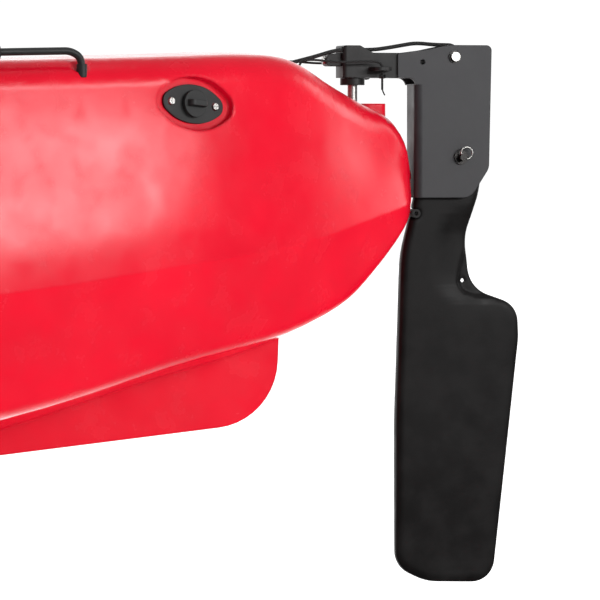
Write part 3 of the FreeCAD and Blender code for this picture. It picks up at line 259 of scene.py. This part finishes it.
STITCH = plastic("stitch_thread", (0.10, 0.10, 0.11), 0.6, 0.3, 2500.0)
BLACKENED_NODES = ("blade_pivot_pin", "rudder_washers")


def paint_nodes():
    """Every CAD node gets the material of its slot, apart from the blackened pivot pin and washers."""
    for entry in frame["record"]["subparts"]:
        mesh = NODES[entry["node"]].data
        mesh.materials.clear()
        mesh.materials.append(MATERIALS[entry["material_slot"]])
    for name in BLACKENED_NODES:
        NODES[name].data.materials[0] = BLACKENED


# ---------------------------------------------------------------- mesh helpers

def add_object(name, mesh, material, smooth=True):
    thing = bpy.data.objects.new(name, mesh)
    scene.collection.objects.link(thing)
    mesh.materials.clear()
    mesh.materials.append(material)
    if smooth:
        mesh.polygons.foreach_set("use_smooth", [True] * len(mesh.polygons))
    return thing


def grid_mesh(name, rows, uvs, closed=False):
    """A mesh over rows of points, with a UV for each; closed joins each row's end to its start."""
    mesh = bpy.data.meshes.new(name)
    count = len(rows[0])
    points = [point for row in rows for point in row]
    steps = count if closed else count - 1
    faces = []
    corners = []
    for i in range(len(rows) - 1):
        for j in range(steps):
            k = (j + 1) % count
            faces.append((i * count + j, i * count + k, (i + 1) * count + k, (i + 1) * count + j))
            corners += [uvs(i, j), uvs(i, j + 1), uvs(i + 1, j + 1), uvs(i + 1, j)]
    mesh.from_pydata(points, [], faces)
    layer = mesh.uv_layers.new(name="UVMap")
    for loop, uv in zip(layer.data, corners):
        loop.uv = uv
    return mesh


def smooth_path(name, points):
    """Points along a smooth NURBS line that has the given points as its control points."""
    curve = bpy.data.curves.new(name, "CURVE")
    curve.dimensions = "3D"
    curve.resolution_u = 14
    spline = curve.splines.new("NURBS")
    spline.points.add(len(points) - 1)
    for target, point in zip(spline.points, points):
        target.co = (*point, 1)
    spline.order_u = 3
    spline.use_endpoint_u = True
    holder = bpy.data.objects.new(name, curve)
    line = bpy.data.meshes.new_from_object(holder)
    path = [vertex.co.copy() for vertex in line.vertices]
    bpy.data.objects.remove(holder)
    return path


def tube_mesh(name, path, radius, sides=14):
    """A round tube along the path, ends closed, with length and girth in its UVs."""
    heading = (path[1] - path[0]).normalized()
    across = heading.orthogonal().normalized()
    rows = []
    run = [0.0]
    for i, point in enumerate(path):
        before = path[max(i - 1, 0)]
        after = path[min(i + 1, len(path) - 1)]
        turned = (after - before).normalized()
        across = (across - turned * across.dot(turned)).normalized()
        other = turned.cross(across)
        rows.append([point + radius * (math.cos(a) * across + math.sin(a) * other)
                     for a in (2 * math.pi * j / sides for j in range(sides))])
        if i:
            run.append(run[-1] + (point - path[i - 1]).length)
    rows = [[path[0]] * sides] + rows + [[path[-1]] * sides]
    run = [run[0]] + run + [run[-1]]
    mesh = grid_mesh(name, rows, lambda i, j: (run[i], j / sides), closed=True)
    builder = bmesh.new()
    builder.from_mesh(mesh)
    bmesh.ops.remove_doubles(builder, verts=builder.verts, dist=1e-6)
    builder.to_mesh(mesh)
    builder.free()
    return mesh


def merged(name, meshes):
    """One mesh out of several."""
    builder = bmesh.new()
    for mesh in meshes:
        builder.from_mesh(mesh)
    whole = bpy.data.meshes.new(name)
    builder.to_mesh(whole)
    builder.free()
    return whole


# ---------------------------------------------------------------- rudder lines

LINE_EXIT = (-1.690, 0.044)
STEER_LUG = (-1.790, 0.031)
STEER_RADIUS = 0.0013
KNOT_HEIGHT = 0.4385
KNOT_SIZE = 0.0034
KNOT_RADIUS = 0.0012
LIFT_RADIUS = 0.0022
SHEAVE = (-1.877, 0.461)
SHEAVE_REACH = 0.0134


def knot_mesh(centre, size, radius):
    """A small overhand knot: a tube along a trefoil."""
    steps = 48
    path = []
    for i in range(steps + 1):
        t = 2 * math.pi * i / steps
        path.append(Vector(centre) + size * Vector((math.sin(t) + 2 * math.sin(2 * t),
                                                    math.cos(t) - 2 * math.cos(2 * t),
                                                    -math.sin(3 * t))) / 3)
    return tube_mesh("knot", path, radius, 8)


def make_lines():
    """The steering lines and the lift line, braided, in place of their CAD solids."""
    x, y = LINE_EXIT
    lug_x, lug_y = STEER_LUG
    meshes = []
    for side, foot in ((1, 0.424), (-1, 0.436)):
        route = [(x, side * y, 0.437), (x, side * y, 0.453), (x - 0.013, side * (y - 0.001), 0.457),
                 (x - 0.048, side * (y - 0.006), 0.4535), (x - 0.084, side * (y - 0.011), 0.4555),
                 (lug_x, side * lug_y, 0.454), (lug_x, side * lug_y, 0.440),
                 (lug_x, side * lug_y, foot)]
        path = smooth_path("steering_route", route)
        meshes.append(tube_mesh("steering", path, STEER_RADIUS, 10))
        meshes.append(knot_mesh((lug_x, side * lug_y, KNOT_HEIGHT), KNOT_SIZE, KNOT_RADIUS))
        if side > 0:
            wisp = [(lug_x, lug_y, 0.425), (lug_x - 0.001, lug_y, 0.421), (lug_x - 0.003, lug_y, 0.418)]
            meshes.append(tube_mesh("frayed_end", smooth_path("wisp", wisp), 0.0008, 8))
    steering = add_object("steering_line_braid", merged("steering_line_braid", meshes), MATERIALS["line"])
    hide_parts("steering_lines")
    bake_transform(steering)

    wheel_x, wheel_z = SHEAVE
    top = wheel_z + SHEAVE_REACH
    turn = SHEAVE_REACH / 0.45
    route = [(x + 0.006, 0.020, 0.437), (x + 0.006, 0.020, 0.452), (x - 0.010, 0.019, 0.456),
             (x - 0.030, 0.016, 0.461), (x - 0.050, 0.012, 0.467), (-1.755, 0.011, 0.4682),
             (-1.785, 0.011, 0.4682), (-1.802, 0.009, 0.4705), (-1.820, 0.004, 0.4735),
             (x - 0.148, 0.001, 0.4765), (wheel_x - SHEAVE_REACH + turn, 0, top),
             (wheel_x - SHEAVE_REACH, 0, top), (wheel_x - SHEAVE_REACH, 0, top - turn)]
    path = smooth_path("lift_route", route)
    lift = add_object("lift_line_braid", tube_mesh("lift_line_braid", path, LIFT_RADIUS), MATERIALS["line"])
    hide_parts("lift_line")
    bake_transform(lift)


# ---------------------------------------------------------------- rudder blade

WEB_EDGE = [(0.196, -1.906), (0.202, -1.891), (0.211, -1.885), (0.225, -1.887), (0.262, -1.897)]
FOIL_TOP = 0.300
FOIL_THINNING = 0.55
TIP_THINNING = 0.25
WEB_SHARE = 0.26
BLADE_VOXEL = 0.0022
BLADE_ROW = 0.004


def between(table, value):
    """Value read off a table of (place, value) pairs with straight runs between them."""
    for (a, low), (b, high) in zip(table, table[1:]):
        if value <= b:
            t = min(max((value - a) / (b - a), 0.0), 1.0)
            return low + (high - low) * t
    return table[-1][1]


def smoothstep(value, start, stop):
    t = min(max((value - start) / (stop - start), 0.0), 1.0)
    return t * t * (3 - 2 * t)


def make_blade():
    """A foil in place of the flat CAD blade: full ahead, thin behind, with a thin web in its notch."""
    source = NODES["rudder_blade"]
    shape = bpy.data.objects.new("foil_source", source.data.copy())
    scene.collection.objects.link(shape)
    remesh = shape.modifiers.new("remesh", "REMESH")
    remesh.mode = "VOXEL"
    remesh.voxel_size = BLADE_VOXEL
    relax = shape.modifiers.new("relax", "SMOOTH")
    relax.factor = 0.5
    relax.iterations = 4
    bpy.context.view_layer.update()
    mesh = bpy.data.meshes.new_from_object(shape.evaluated_get(bpy.context.evaluated_depsgraph_get()))
    bpy.data.objects.remove(shape)
    ends = {}
    for vertex in mesh.vertices:
        row = round(vertex.co.z / BLADE_ROW)
        front, back = ends.get(row, (-9.0, 9.0))
        ends[row] = (max(front, vertex.co.x), min(back, vertex.co.x))
    for vertex in mesh.vertices:
        place = vertex.co
        front, back = ends[round(place.z / BLADE_ROW)]
        along = (front - place.x) / max(front - back, 1e-6)
        foil = 1.0 - FOIL_THINNING * smoothstep(along, 0.38, 1.0)
        foil *= 1.0 - TIP_THINNING * smoothstep(-place.z, -0.02, 0.12)
        web_x = between(WEB_EDGE, place.z)
        in_notch = smoothstep(place.z, 0.194, 0.199) * (1 - smoothstep(place.z, 0.262, 0.290))
        web = in_notch * smoothstep(web_x - place.x, -0.0015, 0.0025)
        foil = foil * (1 - web) + WEB_SHARE * web
        blend = 1.0 - smoothstep(place.z, FOIL_TOP - 0.035, FOIL_TOP)
        place.y *= 1.0 + (foil - 1.0) * blend
    blade = add_object("blade_foil", mesh, BLADE)
    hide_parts("rudder_blade")
    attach(blade, "blade")


# ---------------------------------------------------------------- seat slings

TUBE = 0.011
CLOTH = 0.0022
WRAP_POINTS = 10
CLOTH_STEPS = 28
HEM_RADIUS = 0.0026
STITCH_RADIUS = 0.0005
STITCH_LINES = (0.008, 0.012)
STITCH_SPANS = ((0.08, 0.42), (0.58, 0.92))


def sling_rows(sections, sag_direction, sag, across_tube):
    """Rows of a sling: at each section, from under one side tube, over both, to under the other.

    A section is the centre of the port tube there; across_tube is the outward normal of the cloth.
    """
    rows = []
    reach = TUBE + 0.6 * CLOTH
    count = len(sections)
    for i, centre in enumerate(sections):
        side = []
        for k in range(WRAP_POINTS):
            angle = math.radians(200 - 20 * k)
            out = Vector((0, math.sin(angle), 0)) * reach
            side.append(centre + out + across_tube[i] * math.cos(angle) * reach)
        edge = centre + across_tube[i] * reach
        depth = sag * (0.55 + 0.45 * math.sin(math.pi * i / (count - 1)))
        middle = []
        for k in range(1, CLOTH_STEPS):
            share = 1 - 2 * k / CLOTH_STEPS
            bow = depth * (1 - share * share)
            middle.append(Vector((edge.x, edge.y * share, edge.z)) + sag_direction * bow)
        port = side + [edge]
        starboard = [Vector((p.x, -p.y, p.z)) for p in reversed(port)]
        rows.append(port + middle + starboard)
    return rows


def rows_to_sling(name, rows, flat, body, node):
    """A stretched sling over the rows, with its hems and stitches, in place of its CAD solid."""
    length = flat[1] / (len(rows) - 1)
    width = flat[0] / (len(rows[0]) - 1)
    mesh = grid_mesh(name, rows, lambda i, j: (i * length, j * width))
    cloth = add_object(name, mesh, MATERIALS["sling"])
    thick = cloth.modifiers.new("thick", "SOLIDIFY")
    thick.thickness = CLOTH
    thick.offset = 0
    hems = [hem_mesh(rows[0]), hem_mesh(rows[-1])]
    hem = add_object(name + "_hems", merged(name + "_hems", hems), MATERIALS["rubber"])
    stitches = add_object(name + "_stitches", stitch_mesh(rows), STITCH)
    for thing in (cloth, hem, stitches):
        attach(thing, body)
    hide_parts(node)


def hem_mesh(edge):
    """A rolled binding along one free edge of a sling."""
    path = [Vector(point) for point in edge[8:-8]]
    return tube_mesh("hem", path, HEM_RADIUS, 10)


def stitch_mesh(rows):
    """Two lines of short stitches beside each hem."""
    meshes = []
    for edge, inner in ((rows[0], rows[1]), (rows[-1], rows[-2])):
        for offset in STITCH_LINES:
            line = []
            for a, b in list(zip(edge, inner))[10:-10]:
                inward = (b - a).normalized()
                line.append(a + inward * offset)
            for a, b in zip(line, line[1:]):
                for start, stop in STITCH_SPANS:
                    raised = stitch_up(a, b, edge, inner) * (0.5 * CLOTH + 0.0002)
                    p = a.lerp(b, start) + raised
                    q = a.lerp(b, stop) + raised
                    crown = p.lerp(q, 0.5) + raised * 0.25
                    meshes.append(tube_mesh("stitch", [p, crown, q], STITCH_RADIUS, 6))
    return merged("stitches", meshes)


def stitch_up(a, b, edge, inner):
    """The cloth's upper normal between two neighbouring points of a stitched line."""
    along = (b - a).normalized()
    inward = (inner[len(inner) // 2] - edge[len(edge) // 2]).normalized()
    normal = along.cross(inward).normalized()
    return normal if normal.z + 0.3 * normal.x > 0 else -normal


def make_slings():
    """The seat's and the back's slings, each wrapped round the side tubes of its frame."""
    pan = [(-0.322, 0.228), (-0.250, 0.232), (-0.060, 0.240), (0.150, 0.262)]
    low, high = -0.226, 0.085
    count = 26
    seat = []
    ups = []
    for i in range(count):
        x = low + (high - low) * i / (count - 1)
        seat.append(Vector((x, 0.196, between(pan, x))))
        ups.append(Vector((0, 0, 1)))
    rows = sling_rows(seat, Vector((0, 0, -1)), 0.030, ups)
    rows_to_sling("seat_mesh", rows, (0.480, 0.312), "seat", "seat_sling")

    hinge = Vector((-0.300, 0, 0.230))
    lean = [(0.040, -0.006), (0.200, -0.040), (0.430, -0.100)]
    narrowing = [(0.200, 0.219), (0.430, 0.205)]
    back = []
    ups = []
    count = 24
    for i in range(count):
        height = 0.086 + 0.266 * i / (count - 1)
        back.append(hinge + Vector((between(lean, height), between(narrowing, height), height)))
        ups.append(Vector((0.97, 0, 0.24)).normalized())
    rows = sling_rows(back, Vector((-0.97, 0, -0.24)), 0.026, ups)
    rows_to_sling("seat_back_mesh", rows, (0.520, 0.274), "seat_back", "seat_back_sling")


# ---------------------------------------------------------------- studio

def make_camera():
    data = bpy.data.cameras.new("camera")
    data.sensor_width = 36
    data.lens = 321.8
    data.clip_end = 60
    camera = bpy.data.objects.new("camera", data)
    scene.collection.objects.link(camera)
    camera.location = (-0.0792, 5.6699, 0.330)
    aim = Vector((-1.705, 0.0, 0.193)) - camera.location
    camera.rotation_euler = aim.to_track_quat("-Z", "Y").to_euler()
    scene.camera = camera


def soft_light(name, place, target, width, height, power):
    data = bpy.data.lights.new(name, "AREA")
    data.shape = "RECTANGLE"
    data.size = width
    data.size_y = height
    data.energy = power
    lamp = bpy.data.objects.new(name, data)
    lamp.location = place
    aim = Vector(target) - Vector(place)
    lamp.rotation_euler = aim.to_track_quat("-Z", "Y").to_euler()
    scene.collection.objects.link(lamp)


def sky_material(world):
    """White behind the object, and a softly shaded room for the light and the reflections."""
    world.use_nodes = True
    tree = world.node_tree
    room = tree.nodes["Background"]
    room.inputs["Color"].default_value = (1, 1, 1, 1)
    direction = tree.nodes.new("ShaderNodeTexCoord")
    place = tree.nodes.new("ShaderNodeSeparateXYZ")
    tree.links.new(direction.outputs["Generated"], place.inputs["Vector"])
    height = spread(tree, join(tree, "ADD", place.outputs["Z"], 0.5), 0.02, 0.45, 0.25, 0.75)
    behind = spread(tree, join(tree, "MULTIPLY", place.outputs["Y"], -1.0), 0.0, 1.6, 0.55, 0.95)
    tree.links.new(join(tree, "ADD", height, behind), room.inputs["Strength"])
    white = tree.nodes.new("ShaderNodeBackground")
    white.inputs["Color"].default_value = (1, 1, 1, 1)
    white.inputs["Strength"].default_value = 1.05
    rays = tree.nodes.new("ShaderNodeLightPath")
    choice = tree.nodes.new("ShaderNodeMixShader")
    tree.links.new(rays.outputs["Is Camera Ray"], choice.inputs["Fac"])
    tree.links.new(room.outputs["Background"], choice.inputs[1])
    tree.links.new(white.outputs["Background"], choice.inputs[2])
    tree.links.new(choice.outputs["Shader"], tree.nodes["World Output"].inputs["Surface"])


def make_studio():
    reach = 30.0
    mesh = bpy.data.meshes.new("floor")
    mesh.from_pydata([(-reach, -reach, 0), (reach, -reach, 0), (reach, reach, 0), (-reach, reach, 0)],
                     [], [(0, 1, 2, 3)])
    floor = bpy.data.objects.new("floor", mesh)
    floor.location = (0, 0, cad_box[0][2] - 0.002)
    floor.visible_glossy = False
    scene.collection.objects.link(floor)
    material, tree, shader = new_material("studio_floor", (0.88, 0.88, 0.88), 0.8, specular=0.1)
    grain = noise(tree, coordinates(tree), 3.0)
    tree.links.new(spread(tree, grain, (0.86, 0.86, 0.86), (0.89, 0.89, 0.89)), shader.inputs["Base Color"])
    shader.inputs["Emission Color"].default_value = (1, 1, 1, 1)
    shader.inputs["Emission Strength"].default_value = 0.85
    mesh.materials.append(material)

    world = bpy.data.worlds.new("studio")
    scene.world = world
    sky_material(world)
    soft_light("side_box", (-3.3, 3.2, 1.15), (-1.5, 0.2, 0.3), 2.4, 0.5, 84)
    soft_light("stern_box", (-4.6, -0.6, 0.9), (-1.6, 0.0, 0.3), 0.8, 1.6, 16)
    soft_light("top_box", (-1.2, 0.4, 3.4), (-1.2, 0.0, 0.3), 3.0, 1.2, 24)
    scene.view_settings.view_transform = "Standard"


paint_nodes()
make_lines()
make_blade()
make_slings()
make_camera()
make_studio()
